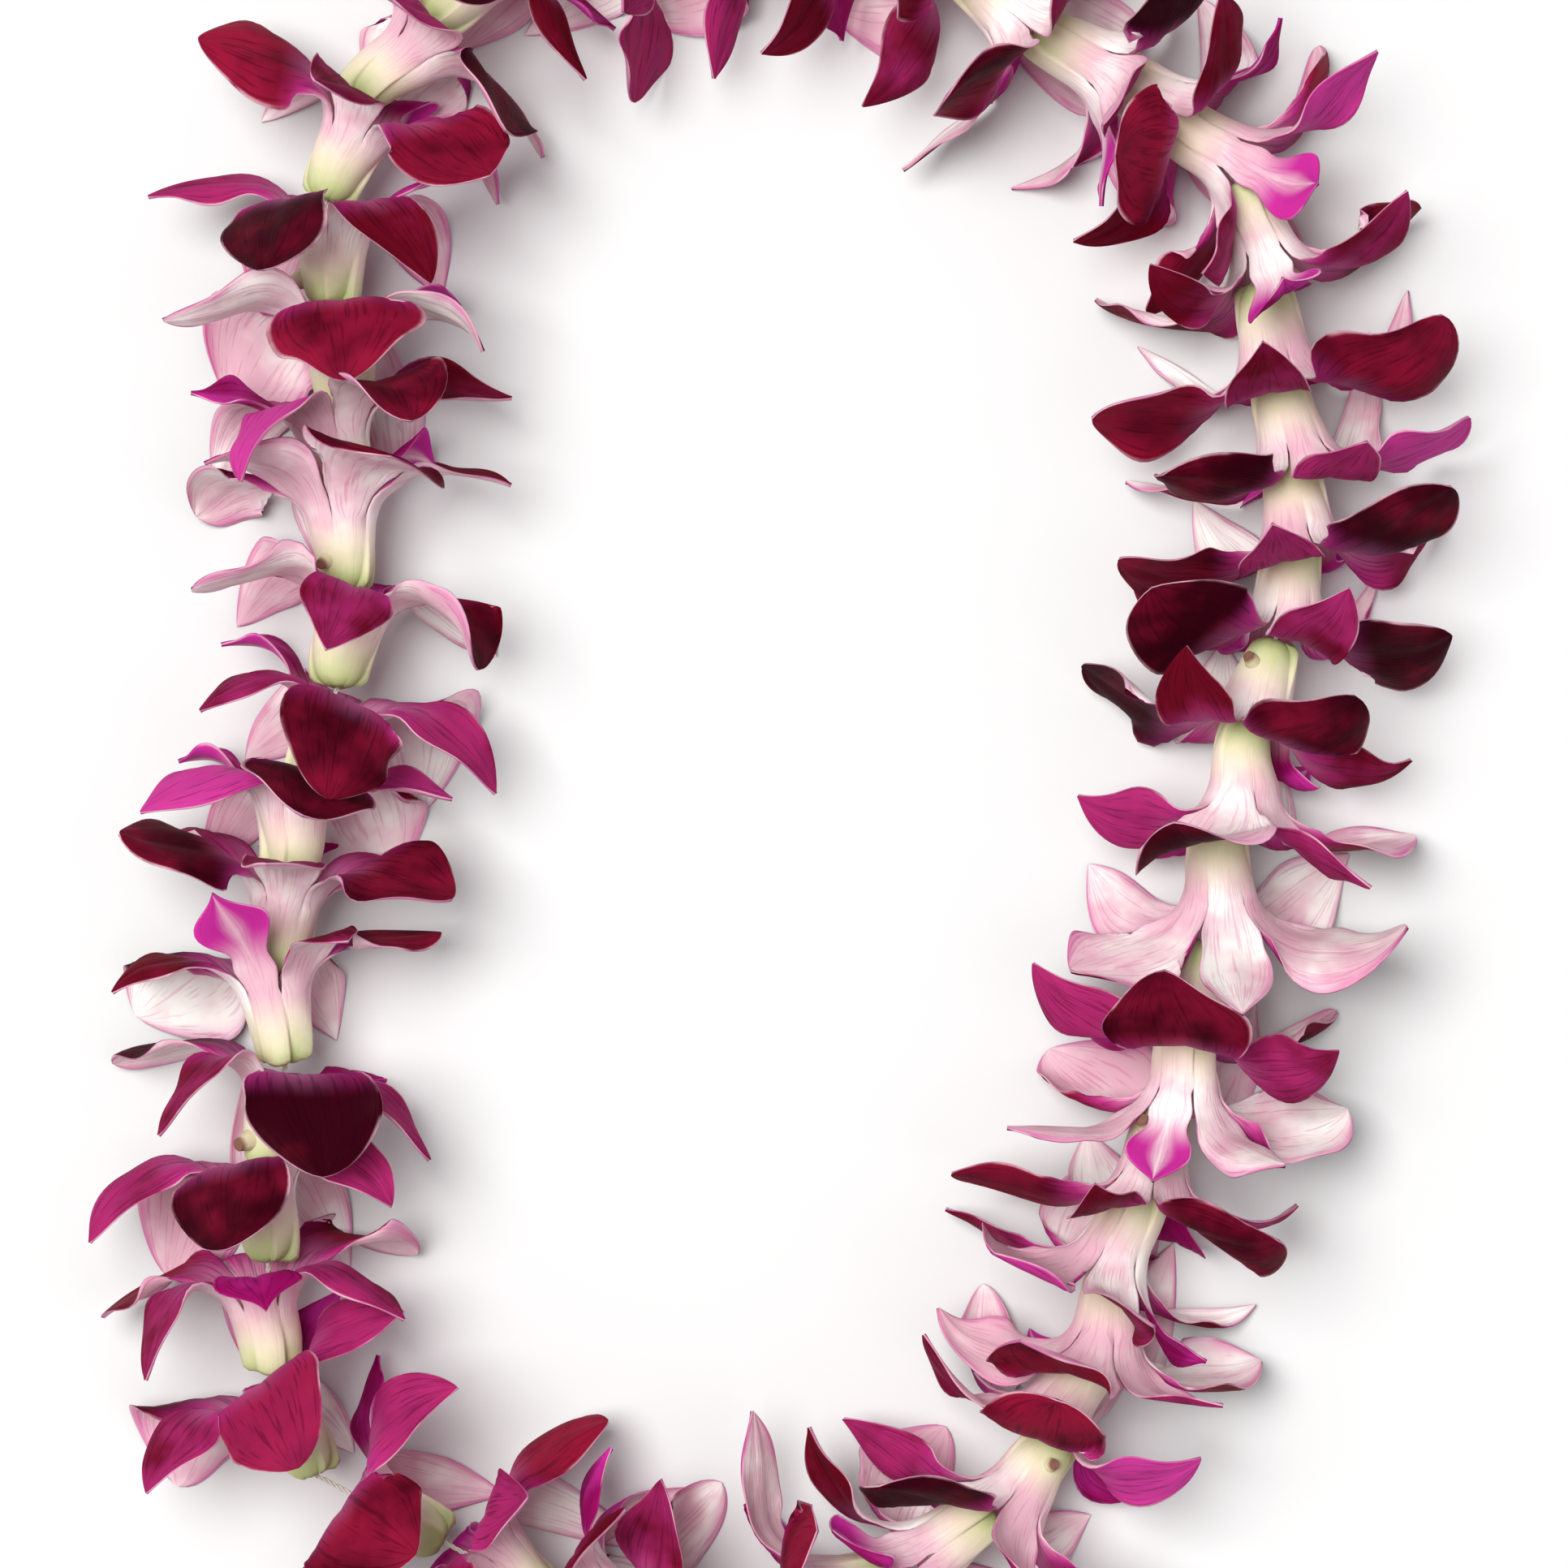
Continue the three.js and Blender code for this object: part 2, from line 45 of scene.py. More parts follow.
# The loop, in millimetres, clockwise from the lower left. In each row x and y are where the tip of a bloom's
# base is on the string, turn rolls its dorsal sepal from straight up, open is how far its lobes fold out from
# the string, tilt is how much further those that face up fold back, and show twists those at the sides to
# turn their fronts up.
loop = {
    "originX": -0.59,
    "originY": 4.77,
    "height": 20.3,
    "blooms": [
        (-104.5, -153.0, 60, 82, 56, 24), (-113.5, -130.0, 178, 100, 28, 11),
        (-114.5, -105.5, 75, 110, 24, 8), (-115.0, -85.5, 50, 110, 34, 5),
        (-110.5, -61.5, -165, 96, -20, -8), (-112.5, -41.5, -2, 88, 0, 0), (-110.0, -21.5, -80, 104, 16, 8),
        (-105.0, -1.0, -72, 110, 30, 9), (-99.0, 22.0, 0, 104, 30, -25), (-97.5, 43.6, 40, 92, -10, -12),
        (-97.3, 62.4, -100, 104, 8, 7), (-97.8, 82.7, 60, 106, 20, -20), (-100.8, 106.5, 98, 104, 26, 0),
        (-101.5, 130.0, 12, 108, -14, 30), (-94.0, 152.0, -120, 98, 6, 24), (-79.0, 170.0, 70, 106, 25, 24),
        (-57.0, 185.0, -35, 104, 15, 24), (-34.0, 194.5, 140, 104, 10, 24), (-10.0, 197.0, 65, 106, 22, 24),
        (14.5, 193.0, -80, 106, 15, 24), (38.0, 182.0, 20, 104, 15, 28), (56.0, 168.0, 110, 100, 0, 24),
        (71.5, 158.5, -96, 102, 5, 24), (85.5, 148.5, 181, 96, -15, 28), (101.5, 132.5, 175, 104, 0, 32),
        (106.0, 111.0, -14, 100, 12, 36), (109.5, 91.0, 15, 102, 8, 30), (112.5, 72.0, -20, 103, 10, 30),
        (113.5, 54.0, 10, 103, 15, 34), (109.0, 31.5, -38, 104, 10, 30), (103.5, 13.5, 42, 92, -16, 26),
        (96.8, -8.9, 8, 92, -20, -18), (93.8, -35.2, 62, 104, 15, 30), (90.5, -51.9, 163, 95, -15, -15),
        (84.8, -71.0, -30, 94, -10, 20), (79.3, -88.9, -110, 92, -10, 28), (74.5, -106.6, 40, 100, 4, -20),
        (68.5, -124.0, -68, 104, 26, 20), (61.5, -145.0, 20, 90, -15, 22), (46.0, -161.0, 150, 98, 5, 28),
        (24.0, -175.5, 40, 102, 10, -15), (-3.0, -184.0, -60, 104, 12, 28),
        (-27.0, -187.0, 100, 102, 8, 24), (-51.0, -181.0, -25, 100, 5, 28),
        (-76.0, -168.0, 68, 106, 25, 28),
    ],
}

# A bloom's base and throat, in millimetres along its wall from the tip of the base
tube = {
    "holeRadius": 1.05, "tipRadius": 2.2, "wallBend": 5, "tipFlare": 60, "tubeFlare": 13,
    "floorRow": 10, "splitRow": 16, "wallThickness": 1.3, "chinBack": 3.5, "chinOut": 1.2,
    "rows": 11, "archStart": 14, "archEnd": 38, "flatStart": 25, "twistEnd": 42,
    "tipCurlLength": 15, "spineStep": 0.5,
    "leanAngle": 11, "liftAngle": 6, "leanStart": 4,
}

# How what hangs below the string turns back along the table
table = {"layStart": 6, "layEnd": 29, "layAngle": 89.6, "layStep": 0.25, "layReach": 60, "floor": 0.05}

# The free lobes: length from the tip of the base, half width, the shape of that width, and the code by which
# the colours know their kind
lobeKinds = {
    "sepal": {"length": 54, "width": 8.8, "swell": 0.95, "blunt": 0.85, "code": 0.0},
    "petal": {"length": 55, "width": 15.5, "swell": 1.08, "blunt": 0.62, "code": 0.5},
    "lip": {"length": 45, "width": 10.5, "code": 1.0},
}
# Where the lip's side lobes and its middle lobe are widest, and how far each reaches, in shares of its length
lipShape = {
    "sideWidth": 3.4, "sideAt": 0.2, "sideReach": 0.14,
    "middleAt": 0.66, "middleReach": 0.24, "bluntness": 5,
}
# Round a bloom, in degrees: where each lobe is rooted, how far it strays to one side towards its tip, how
# much it folds out beyond the others, and how far it may reach to either side
lobes = [
    {"kind": "sepal", "root": 0, "spread": 0, "lead": 0, "limit": 24},
    {"kind": "petal", "root": 60, "spread": 8, "lead": 0, "limit": 44},
    {"kind": "sepal", "root": 120, "spread": 10, "lead": 0, "limit": 18},
    {"kind": "lip", "root": 180, "spread": 0, "lead": -32, "limit": 32},
    {"kind": "sepal", "root": 240, "spread": -10, "lead": 0, "limit": 18},
    {"kind": "petal", "root": 300, "spread": -8, "lead": 0, "limit": 44},
]
rootLimit = 30  # the same reach at the root, where six lobes share the ring
lobeClearance = 1.5  # degrees by which every lobe stays short of that reach

# How the lobes differ from one another: the most that a draw adds to each of these, or takes from it
scatter = {"swirl": 9, "fold": 9, "curl": 31, "twist": 22, "cup": 0.026, "size": 0.1}
tipCurl = 17  # degrees that the tips curl back on average

# The tissue of the lobes: how finely it is meshed, and what the smooth solids leave out
tissue = {
    "columns": 14, "rows": 24, "crowding": 1.35, "leastHalf": 0.02, "leastBend": 1e-4,
    "thickness": 0.95, "edgeThickness": 0.28, "uneven": 0.07, "unevenWaves": 8,
    "ruffle": 1.7, "ruffleWaves": 9, "marginCurl": 3.0, "fullWaveHalf": 13,
    "ribGroove": 0.4, "ribWidth": 0.09, "veinRelief": 0.09, "veins": 9,
}
layLength = 50  # millimetres along a lobe for one unit of its UV map
weldDistance = 2e-6  # in metres, like the next
leastEdge = 1e-6


def draw(bloom, lobe, trait):  # a seeded draw from -1 to 1
    wave = math.sin(bloom * 12.9898 + lobe * 78.233 + trait * 37.719 + seed) * 43758.5453
    return 2 * (wave - math.floor(wave)) - 1


def smooth(low, high, value):
    t = np.clip((value - low) / (high - low), 0, 1)
    return t * t * (3 - 2 * t)


def wallAngle(row):
    return tube["tubeFlare"] + (tube["tipFlare"] - tube["tubeFlare"]) * (1 - smooth(0, tube["wallBend"], row))


def bloomFrame(index):
    x, y = loop["blooms"][index][:2]
    nextX, nextY = loop["blooms"][(index + 1) % len(loop["blooms"])][:2]
    forward = np.array([nextX - x, nextY - y, 0.0])
    forward /= np.linalg.norm(forward)
    up = np.array([0.0, 0.0, 1.0])
    side = np.cross(up, forward)
    origin = np.array([x - loop["originX"], y - loop["originY"], loop["height"]])
    lean = tube["leanAngle"] * draw(index, 0, 12) * degrees
    lift = tube["liftAngle"] * draw(index, 0, 13) * degrees
    return {"origin": origin, "forward": forward, "side": side, "up": up, "lean": lean, "lift": lift}


def lobeTraits(index, number):
    turn, opening, tilt, show = loop["blooms"][index][2:]
    lobe = lobes[number]
    facing = 90 + turn + lobe["root"]
    upward = math.sin((facing + lobe["spread"]) * degrees)
    inward = math.cos((facing + lobe["spread"]) * degrees)
    fold = opening + lobe["lead"] + tilt * max(upward, 0)
    return {
        **lobe,
        **lobeKinds[lobe["kind"]],
        "facing": facing,
        "swirl": scatter["swirl"] * draw(index, 0, 9),
        "fold": fold + scatter["fold"] * draw(index, number, 2),
        "curl": tipCurl + scatter["curl"] * draw(index, number, 3),
        "twist": scatter["twist"] * draw(index, number, 4) - show * inward,
        "cup": scatter["cup"] * draw(index, number, 5),
        "size": 1 + scatter["size"] * draw(index, number, 6),
        "wave": draw(index, number, 7),
        "rim": draw(index, number, 10),
        "tone": draw(index, number, 8),
    }


# For each step along a lobe, its station along the string, its distance from it and its angle to it
def lobeSpine(traits):
    step = tube["spineStep"]
    length = traits["length"]
    at = np.arange(step, length + step + 1e-6, step) - step / 2
    arch = smooth(tube["archStart"], tube["archEnd"], at)
    curl = smooth(length - tube["tipCurlLength"], length, at)
    angle = wallAngle(at) + (traits["fold"] - tube["tubeFlare"]) * arch + traits["curl"] * curl
    steps = step * np.where(at > tube["splitRow"], traits["size"], 1)
    station = np.concatenate([[0], np.cumsum(steps * np.cos(angle * degrees))])
    radius = tube["tipRadius"] + np.concatenate([[0], np.cumsum(steps * np.sin(angle * degrees))])
    angle = np.concatenate([[wallAngle(0)], angle])
    return {"rows": np.arange(len(station)) * step, "station": station, "radius": radius, "angle": angle}


def halfWidth(traits, row, tubeRadius):
    shared = tubeRadius * math.pi / len(lobes)
    split = tube["splitRow"]
    t = np.clip((row - split) / (traits["length"] - split), 0, 1)
    claw = shared * (1 - t) ** 3
    if traits["kind"] == "lip":
        sides = lipShape["sideWidth"] * np.exp(-(((t - lipShape["sideAt"]) / lipShape["sideReach"]) ** 2))
        middle = traits["width"] * np.exp(-(((t - lipShape["middleAt"]) / lipShape["middleReach"]) ** 2))
        free = (claw + sides + middle) * np.sqrt(np.clip(1 - t ** lipShape["bluntness"], 0, 1))
    else:
        bow = np.clip(np.sin(math.pi * t ** traits["swell"]), 0, 1)
        free = claw + traits["width"] * bow ** traits["blunt"]
    return np.where(row <= split, shared, free)


def layTable():
    depth = np.arange(table["layStep"] / 2, table["layReach"], table["layStep"])
    over = table["layAngle"] * smooth(table["layStart"], table["layEnd"], depth) * degrees
    back = np.concatenate([[0], np.cumsum(table["layStep"] * np.sin(over))])
    down = np.concatenate([[0], np.cumsum(table["layStep"] * np.cos(over))])
    return np.arange(len(back)) * table["layStep"], back, down


layDepths, layBack, layDown = layTable()
firstSpine = lobeSpine(lobeTraits(0, 0))
splitRadius = float(np.interp(tube["splitRow"], firstSpine["rows"], firstSpine["radius"]))


def lobePoints(place, traits, spine, row, across):  # the middle surface of a lobe
    station = np.interp(row, spine["rows"], spine["station"])
    radius = np.interp(row, spine["rows"], spine["radius"])
    theta = np.interp(row, spine["rows"], spine["angle"]) * degrees
    split = tube["splitRow"]
    free = smooth(split, traits["length"], row)
    facing = (traits["facing"] + traits["spread"] * free + traits["swirl"] * free ** 2) * degrees
    # round like the throat at first, then nearly flat
    bend = (1 - smooth(split, tube["flatStart"], row)) / splitRadius
    curvature = np.where(row <= split, 1 / radius, bend + traits["cup"] * (1 - bend))
    curvature = np.where(np.abs(curvature) < tissue["leastBend"], tissue["leastBend"], curvature)
    sideways = np.sin(curvature * across) / curvature
    frontward = (1 - np.cos(curvature * across)) / curvature
    twist = traits["twist"] * smooth(split, tube["twistEnd"], row) * degrees
    sideways, frontward = (
        sideways * np.cos(twist) - frontward * np.sin(twist),
        sideways * np.sin(twist) + frontward * np.cos(twist),
    )
    # each lobe keeps to its own sector about the string
    outward = radius - frontward * np.cos(theta)
    offset = np.arctan2(sideways, outward)
    limit = (rootLimit + (traits["limit"] - lobeClearance - rootLimit) * free) * degrees
    offset = np.where(row > split, offset / (1 + (np.abs(offset) / limit) ** 4) ** 0.25, offset)
    # the chin bulges back under the lip
    chinSide = np.clip(np.cos((180 - traits["root"]) * degrees + offset), 0, 1)
    bendRow = tube["wallBend"]
    chin = chinSide ** 2 * smooth(0, bendRow, row) * (1 - smooth(bendRow, split, row))
    ahead = station + frontward * np.sin(theta) - tube["chinBack"] * chin
    reach = np.hypot(outward, sideways) + tube["chinOut"] * chin
    aside, rise = -reach * np.cos(facing + offset), reach * np.sin(facing + offset)
    # the throat and lobes lean about the tip of the base
    share = smooth(tube["leanStart"], split, row)
    lean, lift = place["lean"] * share, place["lift"] * share
    ahead, aside = ahead * np.cos(lean) - aside * np.sin(lean), ahead * np.sin(lean) + aside * np.cos(lean)
    ahead, rise = ahead * np.cos(lift) - rise * np.sin(lift), ahead * np.sin(lift) + rise * np.cos(lift)
    points = (
        place["origin"]
        + ahead[..., None] * place["forward"]
        + aside[..., None] * place["side"]
        + rise[..., None] * place["up"]
    )
    # what hangs down turns back along the table
    depth = np.clip(place["origin"][2] - points[..., 2], 0, None)
    below = depth > 0
    points = points - np.interp(depth, layDepths, layBack)[..., None] * place["forward"]
    laid = place["origin"][2] - np.interp(depth, layDepths, layDown)
    points[..., 2] = np.where(below, laid, points[..., 2])
    return points


def backNormals(place, traits, spine, row, across):
    reach = 0.2
    alongIt = lobePoints(place, traits, spine, row + reach, across)
    alongIt -= lobePoints(place, traits, spine, np.clip(row - reach, 0, None), across)
    acrossIt = lobePoints(place, traits, spine, row, across + reach)
    acrossIt -= lobePoints(place, traits, spine, row, across - reach)
    normals = np.cross(alongIt, acrossIt)
    return normals / np.maximum(np.linalg.norm(normals, axis=-1, keepdims=True), 1e-9)


# Grids of one lobe: u runs across it from -1 to 1, and row along it from the tip of the base
def lobeGrid(place, index, number):
    traits = lobeTraits(index, number)
    spine = lobeSpine(traits)
    split, length = tube["splitRow"], traits["length"]
    tubeRows = np.linspace(0, split, tube["rows"])
    freeShare = np.linspace(0, 1, tissue["rows"] + 1)[1:]
    freeRows = split + (length - split) * (1 - (1 - freeShare) ** tissue["crowding"])
    rows = np.concatenate([tubeRows, freeRows])
    u = np.sin(np.linspace(-1, 1, tissue["columns"] + 1) * math.pi / 2) * 0.5
    u += np.linspace(-1, 1, tissue["columns"] + 1) * 0.5
    row, across = np.meshgrid(rows, u, indexing="ij")
    half = halfWidth(traits, row, np.interp(row, spine["rows"], spine["radius"]))
    half = np.maximum(half, tissue["leastHalf"])
    t = np.clip((row - split) / (length - split), 0, 1)
    unevenly = np.sin(t * tissue["unevenWaves"] + 7 * traits["rim"] + 3 * np.sign(across))
    unevenly = unevenly * smooth(0.1, 0.5, t) * np.abs(across)
    half = half * (1 + tissue["uneven"] * unevenly)
    points = lobePoints(place, traits, spine, row, across * half)
    normals = backNormals(place, traits, spine, row, across * half)
    # what the smooth surface leaves out: a wavy margin, a groove down the middle and fine raised veins
    edgeCube = np.abs(across) ** 3
    wave = np.sin(t * tissue["ruffleWaves"] + 5 * traits["wave"] + 2.5 * np.sign(across)) * edgeCube
    groove = np.exp(-((across / tissue["ribWidth"]) ** 2)) * smooth(0.05, 0.4, t) * (1 - smooth(0.8, 1, t))
    veins = np.cos(across * math.pi * tissue["veins"]) * smooth(0.02, 0.3, t)
    waveShare = half / tissue["fullWaveHalf"]
    shift = tissue["ruffle"] * wave * smooth(0.1, 0.6, t) * waveShare
    shift += tissue["marginCurl"] * traits["rim"] * edgeCube * smooth(0.15, 0.5, t) * waveShare
    shift += tissue["ribGroove"] * groove + tissue["veinRelief"] * veins
    # the wall of the throat thins out into the blades, and these towards their edges
    blade = tissue["thickness"] + (tissue["edgeThickness"] - tissue["thickness"]) * np.abs(across) ** 4
    thickness = tube["wallThickness"] + (blade - tube["wallThickness"]) * smooth(0.6, 1, row / split + t)
    thickness = thickness + (blade - thickness) * smooth(0, 0.15, t)
    back = points + normals * (shift + thickness / 2)[..., None]
    front = points + normals * (shift - thickness / 2)[..., None]
    raised = np.clip(table["floor"] - np.minimum(back[..., 2], front[..., 2]), 0, None)
    back[..., 2] += raised
    front[..., 2] += raised
    return {"rows": rows, "u": u, "back": back, "front": front, "traits": traits}


# One bloom's skin: outside, throat and both faces of every lobe, closed round their edges. Its marks say
# whether a face is a front, what kind of lobe it is on, and that lobe's tone.
def bloomMesh(index):
    place = bloomFrame(index)
    grids = [lobeGrid(place, index, number) for number in range(len(lobes))]
    rowCount, columnCount = grids[0]["back"].shape[:2]
    count = rowCount * columnCount
    splitIndex = tube["rows"] - 1
    floorIndex = int(round(tube["floorRow"] / tube["splitRow"] * splitIndex))
    last = columnCount - 1
    for k in range(len(grids)):  # neighbours share the wall of the base
        after = (k + 1) % len(grids)
        for face in ("back", "front"):
            shared = (grids[k][face][: splitIndex + 1, last] + grids[after][face][: splitIndex + 1, 0]) / 2
            grids[k][face][: splitIndex + 1, last] = shared
            grids[after][face][: splitIndex + 1, 0] = shared
    lo, hi = slice(0, -1), slice(1, None)
    floorLo, floorHi = slice(floorIndex, -1), slice(floorIndex + 1, None)
    splitLo, splitHi = slice(splitIndex, -1), slice(splitIndex + 1, None)
    points, faces, lays, marks = [], [], [], []
    lay = np.zeros((rowCount, columnCount, 2))
    for k, grid in enumerate(grids):
        points += [grid["back"].reshape(-1, 3), grid["front"].reshape(-1, 3)]
        lay[..., 0] = (grid["u"][None, :] + 1) / 2
        lay[..., 1] = grid["rows"][:, None] / layLength
        out = 2 * count * k + np.arange(count).reshape(rowCount, columnCount)
        inner = out + count
        # outside, inside and both edges, each with how much it counts as a front
        skins = [
            (0.0, (out, lo, lo), (out, hi, lo), (out, hi, hi), (out, lo, hi)),
            (1.0, (inner, floorLo, lo), (inner, floorLo, hi), (inner, floorHi, hi), (inner, floorHi, lo)),
            (0.5, (out, splitLo, last), (out, splitHi, last), (inner, splitHi, last), (inner, splitLo, last)),
            (0.5, (out, splitLo, 0), (inner, splitLo, 0), (inner, splitHi, 0), (out, splitHi, 0)),
        ]
        for front, *corners in skins:
            faces.append(np.stack([ids[r, c] for ids, r, c in corners], axis=-1).reshape(-1, 4))
            lays.append(np.stack([lay[r, c] for ids, r, c in corners], axis=-2).reshape(-1, 2))
            mark = (front, grid["traits"]["code"], 0.5 + 0.5 * grid["traits"]["tone"], 1.0)
            marks.append(np.tile(mark, (faces[-1].size, 1)))
    # the blunt end of the base, the needle hole and the throat's floor
    around = len(grids) * last
    outerRing = np.concatenate([2 * count * k + np.arange(last) for k in range(len(grids))])
    floorRing = outerRing + (rowCount + floorIndex) * columnCount
    flat = np.concatenate(points)
    floorStation = float((flat[floorRing].mean(axis=0) - place["origin"]) @ place["forward"])
    holes = []
    for station, ring in ((0.0, outerRing), (floorStation, floorRing)):
        axis = place["origin"] + station * place["forward"]
        away = flat[ring] - axis
        away -= (away @ place["forward"])[:, None] * place["forward"]
        away /= np.linalg.norm(away, axis=1, keepdims=True)
        points.append(axis + away * tube["holeRadius"])
        holes.append(len(flat) + around * len(holes) + np.arange(around))
    tipHole, floorHole = holes
    for a, b, front, along in (
        (outerRing, tipHole, 0.0, 0.0), (tipHole, floorHole, 1.0, 0.18), (floorHole, floorRing, 1.0, 0.18),
    ):
        faces.append(np.stack([a, np.roll(a, -1), np.roll(b, -1), b], axis=-1))
        lays.append(np.tile((0.5, along), (around * 4, 1)))
        marks.append(np.tile((front, 0.0, 0.5, 1.0), (around * 4, 1)))
    return np.concatenate(points) * mm, np.concatenate(faces), np.concatenate(lays), np.concatenate(marks)


def makeMesh(name, points, faces, lay, mark, material):
    mesh = bpy.data.meshes.new(name)
    mesh.vertices.add(len(points))
    mesh.vertices.foreach_set("co", points.astype(np.float32).ravel())
    mesh.loops.add(faces.size)
    mesh.loops.foreach_set("vertex_index", faces.astype(np.int32).ravel())
    mesh.polygons.add(len(faces))
    mesh.polygons.foreach_set("loop_start", np.arange(len(faces), dtype=np.int32) * 4)
    mesh.update(calc_edges=True)
    mesh.uv_layers.new(name="lay").data.foreach_set("uv", lay.astype(np.float32).ravel())
    marks = mesh.color_attributes.new("tissue", "FLOAT_COLOR", "CORNER")
    marks.data.foreach_set("color", mark.astype(np.float32).ravel())
    mesh.materials.append(material)
    mesh.polygons.foreach_set("use_smooth", np.ones(len(faces), dtype=bool))
    weld(mesh)
    piece = bpy.data.objects.new(name, mesh)
    bpy.context.scene.collection.objects.link(piece)
    return piece


def weld(mesh):
    work = bmesh.new()
    work.from_mesh(mesh)
    bmesh.ops.remove_doubles(work, verts=work.verts, dist=weldDistance)
    bmesh.ops.dissolve_degenerate(work, edges=work.edges, dist=leastEdge)
    work.to_mesh(mesh)
    work.free()


# Materials: small helpers first. Constants go straight on the shader's own sockets.
def nodeMaker(tree):
    def make(kind, inputs=None, **settings):
        node = tree.nodes.new(kind)
        for name, value in settings.items():
            setattr(node, name, value)
        for name, value in (inputs or {}).items():
            socket = node.inputs[name]
            if isinstance(value, bpy.types.NodeSocket):
                tree.links.new(value, socket)
            else:
                socket.default_value = value
        return node
    return make


def newMaterial(name, constants):
    material = bpy.data.materials.new(name)
    material.use_nodes = True
    tree = material.node_tree
    shader = tree.nodes["Principled BSDF"]
    for socket, value in constants.items():
        shader.inputs[socket].default_value = value
    return material, tree, shader, nodeMaker(tree)


def colourAndRelief(tree, shader, make, colour, height, relief):
    bump = make("ShaderNodeBump", {"Height": height, "Strength": relief[0], "Distance": relief[1]})
    tree.links.new(colour, shader.inputs["Base Color"])
    tree.links.new(bump.outputs[0], shader.inputs["Normal"])


def mathNode(make, operation, *values, clamp=False):
    inputs = dict(enumerate(values))
    return make("ShaderNodeMath", inputs, operation=operation, use_clamp=clamp).outputs[0]


def times(make, a, b):
    return mathNode(make, "MULTIPLY", a, b)


def plus(make, a, b, clamp=False):
    return mathNode(make, "ADD", a, b, clamp=clamp)


def ramp(make, value, low, high):
    inputs = {"Value": value, "From Min": low, "From Max": high}
    return make("ShaderNodeMapRange", inputs, interpolation_type="SMOOTHSTEP").outputs["Result"]


def mix(make, share, a, b):
    node = make("ShaderNodeMix", {0: share, 6: a, 7: b}, data_type="RGBA")
    return node.outputs[2]


def noise(make, place, scale, detail, **more):
    inputs = {"Vector": place, "Scale": scale, "Detail": detail, **more}
    return make("ShaderNodeTexNoise", inputs).outputs["Fac"]


# Linear colours of the living tissue; the lilac also stands in partly for a painted highlight
tissueColours = {
    "crimson": (0.255, 0.0055, 0.023, 1),
    "crimsonDeep": (0.021, 0.0004, 0.004, 1),
    "magenta": (0.53, 0.042, 0.28, 1),
    "lipMagenta": (0.54, 0.028, 0.31, 1),
    "lipDeep": (0.27, 0.004, 0.10, 1),
    "lilacMidribAndHighlight": (0.62, 0.16, 0.40, 1),
    "palePink": (0.75, 0.46, 0.55, 1),
    "white": (0.95, 0.90, 0.87, 1),
    "cream": (0.78, 0.71, 0.54, 1),
    "green": (0.50, 0.60, 0.26, 1),
}

# Where those colours go. A pair is where a change starts and where it ends: along a lobe 1 is 50 mm from the
# tip of the base, across it 0 is the middle and 0.5 the margin, and clouds and tones run from 0 to 1.
tissueLook = {
    "cloudScale": 70,
    "fineScale": 420,
    "veins": {"across": 34, "along": 5, "byTone": 40, "edge": (0.53, 0.66), "onFronts": 0.4, "onBacks": 0.28},
    "fronts": {
        "byTone": 0.55, "deepToRed": (0.49, 1.12), "redToRose": (0.55, 1.0),
        "roseOnSepals": 0.42, "lessOnPetals": -0.38, "roseTones": (0.88, 0.96),
        "lilacToRose": (0.02, 0.3), "innerToOuter": (0.42, 0.74), "lipClouds": (0.4, 0.7),
        "throat": (0.32, 0.56), "throatShare": 0.9,
    },
    "backs": {
        "marginAlong": 0.24, "margin": (0.52, 0.78), "marginShare": 0.75,
        "byTone": 0.3, "whiteToPink": (0.4, 0.8), "lipAlong": (0.42, 0.68), "lipAcross": (-0.08, 0.2),
        "creamClouds": 0.1, "creamToPale": (0.2, 0.42), "greenSpecks": 0.08, "greenToCream": (0.06, 0.27),
    },
    "paleRimsAndHighlights": {"across": (0.468, 0.497), "along": (0.4, 0.6), "clouds": (0.42, 0.62), "share": 0.7},
    "relief": (0.35, 0.0004),
    "veinDepth": -0.5,
    "fineHeight": 0.6,
    "roughness": (0.45, 0.62),
    "constants": {
        "Subsurface Weight": 0.3,
        "Subsurface Radius": (1.0, 0.25, 0.45),
        "Subsurface Scale": 0.0015,
        "Specular IOR Level": 0.02,
    },
}


